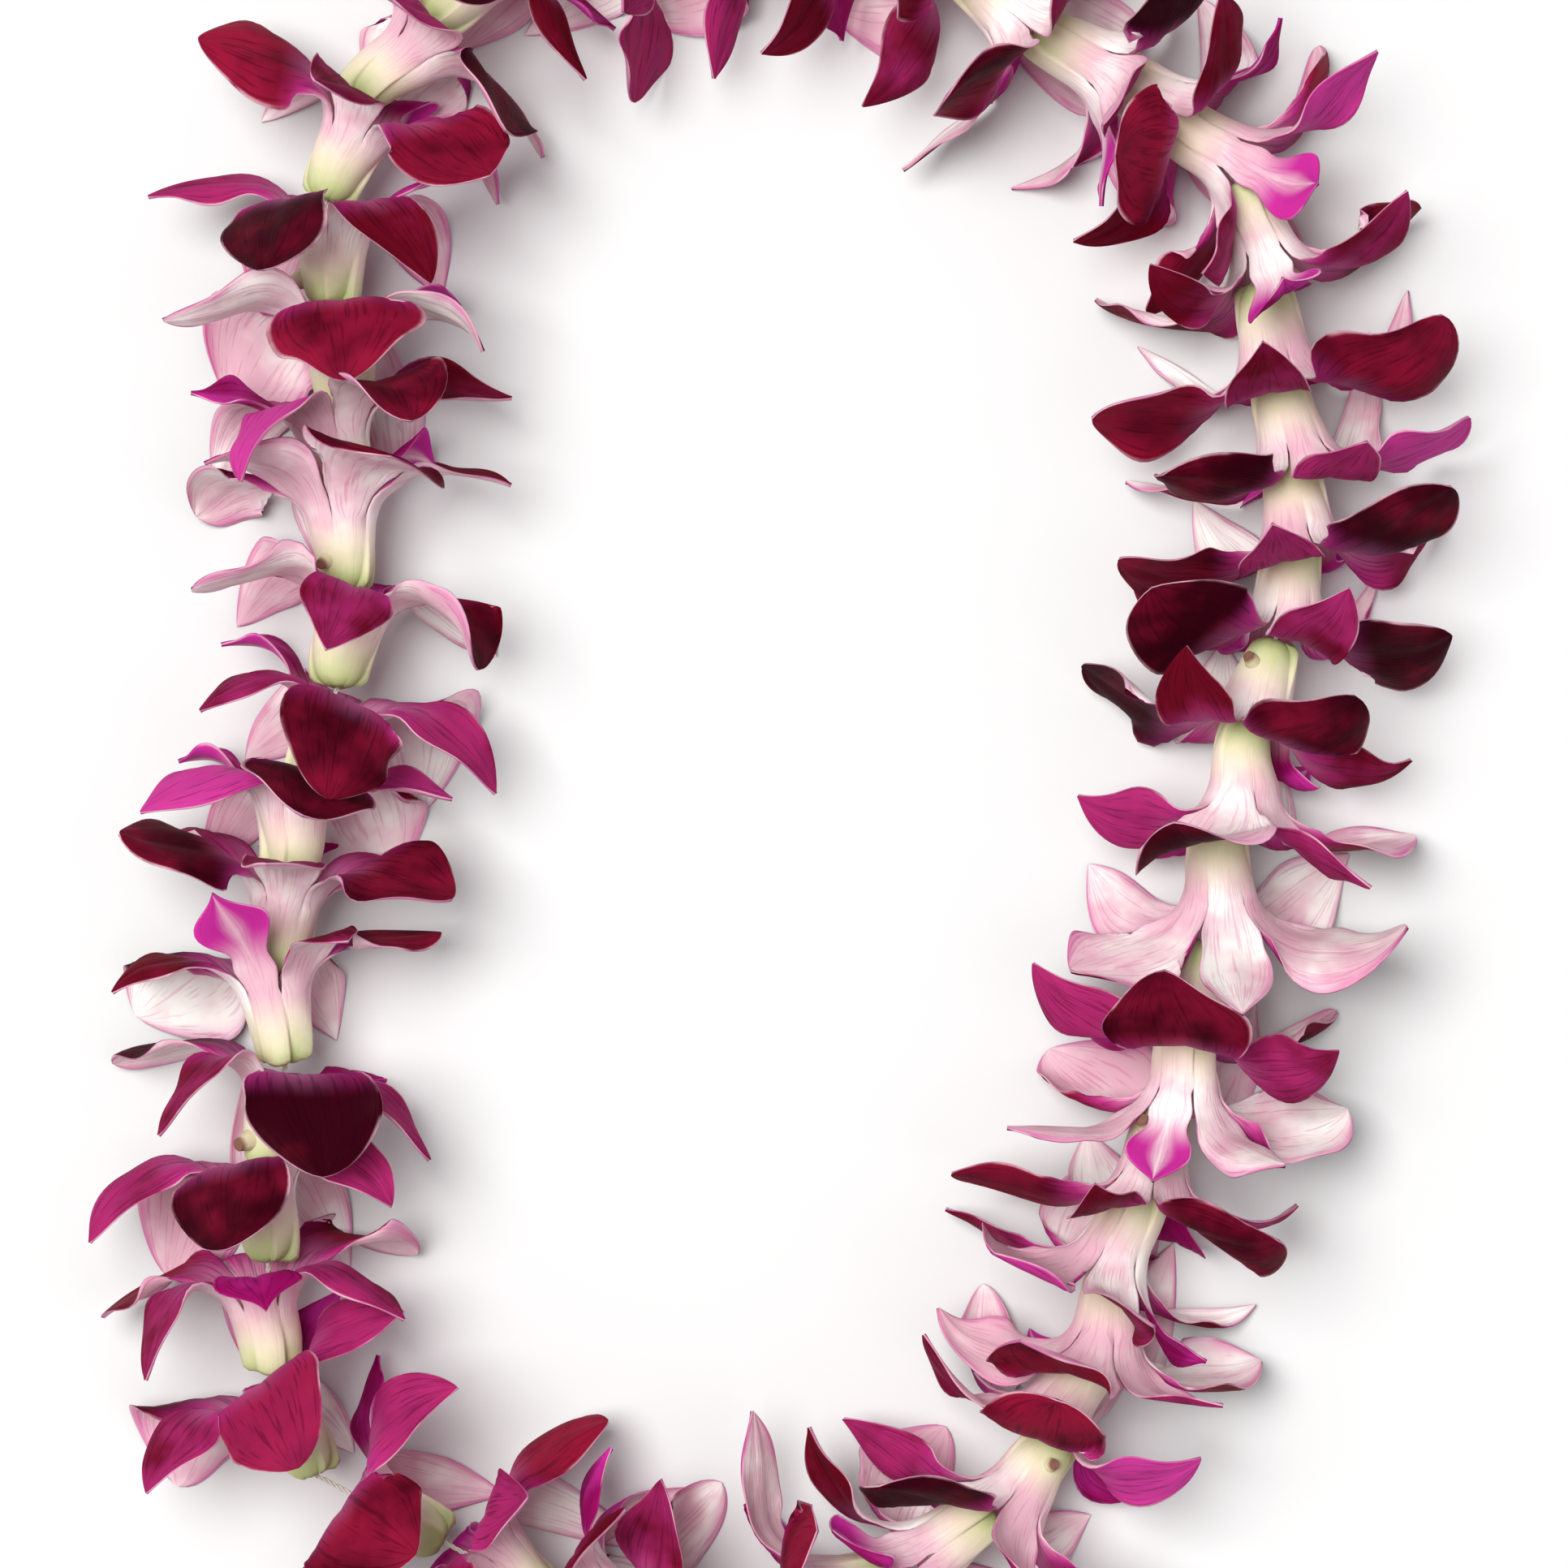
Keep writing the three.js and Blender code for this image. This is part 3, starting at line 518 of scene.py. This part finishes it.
def petalMaterial():
    material, tree, shader, make = newMaterial("petal tissue", tissueLook["constants"])
    c = tissueColours
    lay = make("ShaderNodeSeparateXYZ", {0: make("ShaderNodeUVMap", uv_map="lay").outputs[0]})
    marks = make("ShaderNodeVertexColor", layer_name="tissue")
    mark = make("ShaderNodeSeparateColor", {0: marks.outputs[0]})
    front, kind, tone = mark.outputs[0], mark.outputs[1], mark.outputs[2]
    across, along = lay.outputs[0], lay.outputs[1]
    fromMiddle = mathNode(make, "ABSOLUTE", mathNode(make, "SUBTRACT", across, 0.5))
    isLip = ramp(make, kind, 0.6, 0.9)
    isPetal = mathNode(make, "SUBTRACT", ramp(make, kind, 0.2, 0.4), isLip, clamp=True)
    place = make("ShaderNodeTexCoord").outputs["Object"]
    cloud = noise(make, place, tissueLook["cloudScale"], 3)
    fine = noise(make, place, tissueLook["fineScale"], 4)
    # veins run along the lobe and fork outwards
    look = tissueLook["veins"]
    ways = {0: times(make, across, look["across"]), 1: times(make, along, look["along"])}
    ways[2] = times(make, tone, look["byTone"])
    stretched = make("ShaderNodeCombineXYZ", ways).outputs[0]
    veins = ramp(make, noise(make, stretched, 1.0, 2, Roughness=0.45), *look["edge"])
    frontVeins, backVeins = times(make, veins, look["onFronts"]), times(make, veins, look["onBacks"])
    # fronts: crimson petals and rosier sepals turn magenta towards the throat, and the lips are magenta
    look = tissueLook["fronts"]
    mood = mathNode(make, "MULTIPLY_ADD", tone, look["byTone"], cloud)
    crimson = mix(make, ramp(make, mood, *look["deepToRed"]), c["crimsonDeep"], c["crimson"])
    rosy = mix(make, ramp(make, mood, *look["redToRose"]), c["crimson"], c["magenta"])
    rosiness = mathNode(make, "MULTIPLY_ADD", isPetal, look["lessOnPetals"], look["roseOnSepals"])
    outer = mix(make, rosiness, crimson, rosy)
    outer = mix(make, ramp(make, tone, *look["roseTones"]), outer, c["magenta"])
    # the lilac down the middle near the throat is partly a paler midrib and partly painted highlight
    inner = mix(make, ramp(make, fromMiddle, *look["lilacToRose"]), c["lilacMidribAndHighlight"], c["magenta"])
    lobeFront = mix(make, ramp(make, along, *look["innerToOuter"]), inner, outer)
    lipFront = mix(make, ramp(make, cloud, *look["lipClouds"]), c["lipDeep"], c["lipMagenta"])
    frontColour = mix(make, isLip, lobeFront, lipFront)
    nearThroat = mathNode(make, "SUBTRACT", 1.0, ramp(make, along, *look["throat"]), clamp=True)
    frontColour = mix(make, times(make, nearThroat, look["throatShare"]), frontColour, c["palePink"])
    frontColour = mix(make, frontVeins, frontColour, c["crimsonDeep"])
    # backs: pale pink to white with magenta veins and margins, cream and green at the base
    look = tissueLook["backs"]
    margin = ramp(make, plus(make, fromMiddle, times(make, along, look["marginAlong"])), *look["margin"])
    backTint = plus(make, times(make, margin, look["marginShare"]), backVeins, clamp=True)
    pinkness = plus(make, cloud, times(make, tone, look["byTone"]))
    backPale = mix(make, ramp(make, pinkness, *look["whiteToPink"]), c["white"], c["palePink"])
    backColour = mix(make, backTint, backPale, c["magenta"])
    lipBack = times(make, isLip, ramp(make, along, *look["lipAlong"]))
    lipBack = times(make, lipBack, ramp(make, fromMiddle, *look["lipAcross"]))
    backColour = mix(make, lipBack, backColour, c["lipMagenta"])
    pastCream = ramp(make, plus(make, along, times(make, cloud, look["creamClouds"])), *look["creamToPale"])
    backColour = mix(make, pastCream, c["cream"], backColour)
    pastGreen = ramp(make, plus(make, along, times(make, fine, look["greenSpecks"])), *look["greenToCream"])
    backColour = mix(make, pastGreen, c["green"], backColour)
    # both, with a pale rim here and there: partly the pale back at curled edges, partly painted highlight
    look = tissueLook["paleRimsAndHighlights"]
    colour = mix(make, front, backColour, frontColour)
    rim = times(make, ramp(make, fromMiddle, *look["across"]), ramp(make, along, *look["along"]))
    rim = times(make, rim, ramp(make, cloud, *look["clouds"]))
    colour = mix(make, times(make, rim, look["share"]), colour, c["palePink"])
    sunken, raised = times(make, veins, tissueLook["veinDepth"]), times(make, fine, tissueLook["fineHeight"])
    colourAndRelief(tree, shader, make, colour, plus(make, sunken, raised), tissueLook["relief"])
    smoothest, roughest = tissueLook["roughness"]
    rough = make("ShaderNodeMapRange", {"Value": fine, "To Min": smoothest, "To Max": roughest})
    tree.links.new(rough.outputs["Result"], shader.inputs["Roughness"])
    return material


petalFinish = petalMaterial()
for index in range(len(loop["blooms"])):
    number = f"{index + 1:02d}"
    piece = makeMesh(f"orchid_{number}", *bloomMesh(index), petalFinish)
    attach(piece, "root")
    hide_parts(f"bloom_{number}")
print("blooms made")


# Geometry Nodes for what repeats or follows a path. Each group's result is kept as a plain mesh.
def newGroup(name, inputs):
    tree = bpy.data.node_groups.new(name, "GeometryNodeTree")
    tree.is_modifier = True
    tree.interface.new_socket(name="Geometry", in_out="INPUT", socket_type="NodeSocketGeometry")
    for label, kind in inputs.items():
        tree.interface.new_socket(name=label, in_out="INPUT", socket_type=kind)
    tree.interface.new_socket(name="Geometry", in_out="OUTPUT", socket_type="NodeSocketGeometry")
    make = nodeMaker(tree)
    return tree, make, make("NodeGroupInput").outputs


def closeGroup(make, geometry, material):
    real = make("GeometryNodeRealizeInstances", {0: geometry}).outputs[0]
    real = make("GeometryNodeSetShadeSmooth", {0: real}).outputs[0]
    real = make("GeometryNodeSetMaterial", {0: real, "Material": material}).outputs[0]
    make("NodeGroupOutput", {0: real})


def settle(name, source, tree, values):
    modifier = source.modifiers.new("nodes", "NODES")
    modifier.node_group = tree
    for item in tree.interface.items_tree:
        if item.in_out == "INPUT" and item.name in values:
            modifier[item.identifier] = values[item.name]
    bpy.context.view_layer.update()
    settled = source.evaluated_get(bpy.context.evaluated_depsgraph_get())
    mesh = bpy.data.meshes.new_from_object(settled)
    source.modifiers.remove(modifier)
    bpy.data.objects.remove(source)
    piece = bpy.data.objects.new(name, mesh)
    bpy.context.scene.collection.objects.link(piece)
    return piece


def dorsalWay(index):  # a bloom's frame, and the way that its dorsal sepal points
    place = bloomFrame(index)
    facing = (90 + loop["blooms"][index][2]) * degrees
    return place, -math.cos(facing) * place["side"] + math.sin(facing) * place["up"]


# Points that carry a turn and a size for what stands on them
def pointCloud(name, places, turns, sizes):
    mesh = bpy.data.meshes.new(name)
    mesh.from_pydata([list(p * mm) for p in places], [], [])
    mesh.attributes.new("turn", "FLOAT_VECTOR", "POINT").data.foreach_set("vector", np.array(turns).ravel())
    mesh.attributes.new("size", "FLOAT_VECTOR", "POINT").data.foreach_set("vector", np.array(sizes).ravel())
    source = bpy.data.objects.new(name, mesh)
    bpy.context.scene.collection.objects.link(source)
    return source


def turnTo(forward, aside):
    across = np.cross(forward, aside)
    return list(Matrix(np.array([aside, across, forward]).T.tolist()).to_euler())


def standOn(make, points, instance):
    turn = make("GeometryNodeInputNamedAttribute", {"Name": "turn"}, data_type="FLOAT_VECTOR").outputs[0]
    size = make("GeometryNodeInputNamedAttribute", {"Name": "size"}, data_type="FLOAT_VECTOR").outputs[0]
    inputs = {"Points": points, "Instance": instance, "Rotation": turn, "Scale": size}
    return make("GeometryNodeInstanceOnPoints", inputs).outputs[0]


def storeMark(make, geometry, name, value):
    inputs = {0: geometry, "Name": name, "Value": value}
    return make("GeometryNodeStoreNamedAttribute", inputs, data_type="FLOAT", domain="POINT").outputs[0]


# A short round stem along Z, marked from 0 at its foot to 1 at its end
stemInputs = {name: "NodeSocketFloat" for name in ("Length", "Radius", "Lean")}


def stem(make, inputs, flare, mark):
    along = make("GeometryNodeSplineParameter").outputs["Factor"]
    lean = make("ShaderNodeCombineXYZ", {0: inputs["Lean"], 2: inputs["Length"]}).outputs[0]
    rise = make("ShaderNodeVectorMath", {0: lean, 1: (0.2, 0, 0.5)}, operation="MULTIPLY").outputs[0]
    bow = {"Resolution": 9, "Start": (0, 0, 0), "Middle": rise, "End": lean}
    path = storeMark(make, make("GeometryNodeCurveQuadraticBezier", bow).outputs[0], mark, along)
    ring = make("GeometryNodeCurvePrimitiveCircle", {"Resolution": 12, "Radius": inputs["Radius"]}).outputs[0]
    swell = make("ShaderNodeMapRange", {"Value": along, "To Min": flare[0], "To Max": flare[1]})
    sweep = {"Curve": path, "Profile Curve": ring, "Scale": swell.outputs["Result"], "Fill Caps": True}
    return make("GeometryNodeCurveToMesh", sweep).outputs[0]


# The columns in the throats, in millimetres along the string from the tip of the base and out from it
column = {
    "start": 8.0, "offset": 3.9, "length": 8.5, "radius": 1.5, "lean": 1.1, "flare": (0.75, 1.0),
    "cap": 1.75, "capShape": (1.0, 0.9, 0.7), "sizeScatter": 0.08,
    "deep": (0.42, 0.05, 0.20, 1), "pink": (0.66, 0.33, 0.42, 1), "capColour": (0.78, 0.68, 0.62, 1),
    "cloudScale": 600, "relief": (0.4, 0.0002),
    "constants": {"Roughness": 0.45, "Subsurface Weight": 0.15, "Subsurface Scale": 0.001},
}


def columnMaterial():
    material, tree, shader, make = newMaterial("column tissue", column["constants"])
    cloud = noise(make, make("ShaderNodeTexCoord").outputs["Object"], column["cloudScale"], 3)
    cap = make("ShaderNodeAttribute", attribute_name="cap").outputs["Fac"]
    body = mix(make, ramp(make, cloud, 0.35, 0.7), column["deep"], column["pink"])
    colour = mix(make, ramp(make, cap, 0.3, 0.6), body, column["capColour"])
    colourAndRelief(tree, shader, make, colour, cloud, column["relief"])
    return material


def makeColumns():
    tree, make, start = newGroup("columns", {**stemInputs, "Cap": "NodeSocketFloat"})
    body = stem(make, start, column["flare"], "cap")
    ball = make("GeometryNodeMeshUVSphere", {"Segments": 14, "Rings": 9, "Radius": start["Cap"]}).outputs[0]
    ball = storeMark(make, ball, "cap", 1.0)
    end = make("ShaderNodeCombineXYZ", {0: start["Lean"], 2: start["Length"]}).outputs[0]
    shaped = {0: ball, "Translation": end, "Scale": column["capShape"]}
    whole = make("GeometryNodeJoinGeometry")
    tree.links.new(body, whole.inputs[0])
    tree.links.new(make("GeometryNodeTransform", shaped).outputs[0], whole.inputs[0])
    closeGroup(make, standOn(make, start["Geometry"], whole.outputs[0]), columnMaterial())
    places, turns, sizes = [], [], []
    for index in range(len(loop["blooms"])):
        place, away = dorsalWay(index)
        places.append(place["origin"] + column["start"] * place["forward"] + column["offset"] * away)
        turns.append(turnTo(place["forward"], -away))
        sizes.append([1 + column["sizeScatter"] * draw(index, 0, 11)] * 3)
    values = {"Length": column["length"] * mm, "Radius": column["radius"] * mm,
              "Lean": column["lean"] * mm, "Cap": column["cap"] * mm}
    return settle("columns", pointCloud("column feet", places, turns, sizes), tree, values)


# The stubs of cut flower stalks, in millimetres: on which blooms, how far along the base and how far out
stub = {
    "blooms": [4, 10, 13, 21, 30, 35, 39, 44], "station": 6.4, "reach": 8.6,
    "footShare": 0.55, "lengthShare": 0.5, "backward": 0.45, "sizeScatter": 0.15,
    "radius": 1.55, "flare": (1.6, 0.85), "lean": 0.3,
    "skin": ((0.52, 0.50, 0.28, 1), (0.68, 0.60, 0.42, 1)),
    "dried": ((0.12, 0.045, 0.03, 1), (0.30, 0.15, 0.10, 1)),
    "driedEnd": (0.62, 0.97), "cloudScale": 900, "relief": (0.6, 0.0003),
    "constants": {"Roughness": 0.7},
}


def stubMaterial():
    material, tree, shader, make = newMaterial("cut stalk", stub["constants"])
    cloud = noise(make, make("ShaderNodeTexCoord").outputs["Object"], stub["cloudScale"], 3)
    cut = make("ShaderNodeAttribute", attribute_name="cut").outputs["Fac"]
    skin, dried = mix(make, cloud, *stub["skin"]), mix(make, cloud, *stub["dried"])
    colour = mix(make, ramp(make, cut, *stub["driedEnd"]), skin, dried)
    colourAndRelief(tree, shader, make, colour, cloud, stub["relief"])
    return material


def makeStubs():
    tree, make, start = newGroup("stalk stubs", stemInputs)
    body = stem(make, start, stub["flare"], "cut")
    closeGroup(make, standOn(make, start["Geometry"], body), stubMaterial())
    places, turns, sizes = [], [], []
    for number in stub["blooms"]:
        place, away = dorsalWay(number - 1)
        back = away - stub["backward"] * place["forward"]
        back /= np.linalg.norm(back)
        foot = stub["footShare"] * stub["reach"] * away
        places.append(place["origin"] + stub["station"] * place["forward"] + foot)
        turns.append(turnTo(back, np.cross(place["forward"], away)))
        sizes.append([1 + stub["sizeScatter"] * draw(number, 0, 14)] * 3)
    values = {"Length": stub["lengthShare"] * stub["reach"] * mm, "Radius": stub["radius"] * mm,
              "Lean": stub["lean"] * mm}
    return settle("stalk_stubs", pointCloud("stub feet", places, turns, sizes), tree, values)


# The string: plies twisted round its route, and the knot. The knot's points are millimetres along the
# string, to its left and up.
yarn = {
    "radius": 0.6, "plies": 3, "plyShare": 0.48, "plySpread": 1.08,
    "twistsPerMetre": 210, "step": 1.0, "sides": 6,
    "knotBloom": 17, "knotStation": 13.5,
    "knot": [(-2.2, 0.2, 0.6), (0, 1.3, 0.5), (1.6, 0.4, -0.9), (0.6, -1.2, -0.5), (-1.0, -0.9, 0.9),
             (-0.4, 0.9, 1.1), (1.2, 1.0, 0.2), (1.4, -0.6, 0.7), (2.6, -1.4, 0.1), (4.2, -1.9, -0.7),
             (6.0, -2.3, -1.1)],
    "tail": [(1.0, 0.6, -0.5), (2.4, 1.3, 0.1), (4.2, 1.8, -0.6), (5.8, 2.2, -1.0)],
    "shaded": (0.62, 0.57, 0.47, 1), "bright": (0.88, 0.85, 0.77, 1),
    "fuzzScale": 2600, "relief": (0.5, 0.0002),
    "constants": {"Roughness": 0.9},
}


def yarnMaterial():
    material, tree, shader, make = newMaterial("cotton yarn", yarn["constants"])
    fuzz = noise(make, make("ShaderNodeTexCoord").outputs["Object"], yarn["fuzzScale"], 3)
    colourAndRelief(tree, shader, make, mix(make, fuzz, yarn["shaded"], yarn["bright"]), fuzz, yarn["relief"])
    return material


def stringRoute():
    route = bpy.data.curves.new("string route", "CURVE")
    route.dimensions = "3D"
    corners = [bloomFrame(index)["origin"] for index in range(len(loop["blooms"]))]
    place = bloomFrame(yarn["knotBloom"])
    centre = place["origin"] + yarn["knotStation"] * place["forward"]
    ways = np.array([place["forward"], place["side"], place["up"]])
    knot, tail = (centre + np.array(yarn[part]) @ ways for part in ("knot", "tail"))
    for points, cyclic in ((corners, True), (knot, False), (tail, False)):
        spline = route.splines.new("POLY" if cyclic else "NURBS")
        spline.points.add(len(points) - 1)
        for point, at in zip(spline.points, points):
            point.co = (*(np.array(at) * mm), 1)
        spline.use_cyclic_u = cyclic
        if not cyclic:
            spline.order_u = 4
            spline.use_endpoint_u = True
    source = bpy.data.objects.new("string route", route)
    bpy.context.scene.collection.objects.link(source)
    return source


def makeYarn():
    kinds = {name: "NodeSocketFloat" for name in ("Ply radius", "Twists per metre", "Step")}
    kinds.update({name: "NodeSocketInt" for name in ("Plies", "Sides")})
    tree, make, start = newGroup("yarn", kinds)
    evenly = {"Curve": start["Geometry"], "Length": start["Step"]}
    path = make("GeometryNodeResampleCurve", evenly, mode="LENGTH").outputs[0]
    travelled = make("GeometryNodeSplineParameter").outputs["Length"]
    turns = times(make, travelled, start["Twists per metre"])
    tilt = times(make, turns, 2 * math.pi)
    path = make("GeometryNodeSetCurveTilt", {"Curve": path, "Tilt": tilt}).outputs[0]
    spread = times(make, start["Ply radius"], yarn["plySpread"])
    spots = make("GeometryNodeMeshCircle", {"Vertices": start["Plies"], "Radius": spread}).outputs[0]
    ring = {"Resolution": start["Sides"], "Radius": start["Ply radius"]}
    ply = make("GeometryNodeCurvePrimitiveCircle", ring).outputs[0]
    plies = make("GeometryNodeInstanceOnPoints", {"Points": spots, "Instance": ply}).outputs[0]
    plies = make("GeometryNodeRealizeInstances", {0: plies}).outputs[0]
    sweep = {"Curve": path, "Profile Curve": plies, "Fill Caps": True}
    closeGroup(make, make("GeometryNodeCurveToMesh", sweep).outputs[0], yarnMaterial())
    values = {"Ply radius": yarn["radius"] * mm * yarn["plyShare"], "Plies": yarn["plies"],
              "Twists per metre": float(yarn["twistsPerMetre"]), "Step": yarn["step"] * mm,
              "Sides": yarn["sides"]}
    return settle("yarn", stringRoute(), tree, values)


for piece, slot in ((makeColumns(), "petal"), (makeStubs(), "petal"), (makeYarn(), "string")):
    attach(piece, "root")
    if piece.name == "yarn":
        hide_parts("string")
print("string, columns and stubs made")

# The camera, straight above the middle of the view
view = {"distance": 1.6, "width": 0.348, "sensor": 36.0, "height": 0.02}
camera = bpy.data.objects.new("camera", bpy.data.cameras.new("camera"))
bpy.context.scene.collection.objects.link(camera)
camera.data.sensor_width = view["sensor"]
camera.data.lens = view["sensor"] * (view["distance"] - view["height"]) / view["width"]
camera.location = (-loop["originX"] * mm, -loop["originY"] * mm, view["distance"])
bpy.context.scene.camera = camera

# The white table
paper = {"half": 3.0, "constants": {"Base Color": (0.71, 0.72, 0.73, 1), "Roughness": 0.9}}
corners = [(x * paper["half"], y * paper["half"], 0) for x, y in ((-1, -1), (1, -1), (1, 1), (-1, 1))]
floorMesh = bpy.data.meshes.new("table")
floorMesh.from_pydata(corners, [], [(0, 1, 2, 3)])
floorMesh.materials.append(newMaterial("white paper", paper["constants"])[0])
floor = bpy.data.objects.new("table", floorMesh)
bpy.context.scene.collection.objects.link(floor)

# The light: a large soft window nearly overhead, a weak glow from a pale wall, and the room
lamps = {
    "window": {"place": (-1.9, 1.0, 6.1), "size": 4.0, "power": 495, "colour": (1.0, 0.985, 0.96)},
    "pale wall": {"place": (3.0, -1.5, 4.0), "size": 4.5, "power": 30, "colour": (1.0, 0.985, 0.97)},
}
room = {"aim": (0, 0, 0.02), "colour": (1, 1, 1, 1), "strength": 0.35}


def softLight(name, place, size, power, colour):
    lamp = bpy.data.lights.new(name, "AREA")
    lamp.shape = "DISK"
    lamp.size = size
    lamp.energy = power
    lamp.color = colour
    holder = bpy.data.objects.new(name, lamp)
    bpy.context.scene.collection.objects.link(holder)
    holder.location = place
    holder.rotation_euler = (Vector(room["aim"]) - Vector(place)).to_track_quat("-Z", "Y").to_euler()


for name, settings in lamps.items():
    softLight(name, **settings)
world = bpy.data.worlds.new("room")
world.use_nodes = True
background = world.node_tree.nodes["Background"]
background.inputs["Color"].default_value = room["colour"]
background.inputs["Strength"].default_value = room["strength"]
bpy.context.scene.world = world
bpy.context.scene.view_settings.view_transform = "Standard"

print("scene ready")
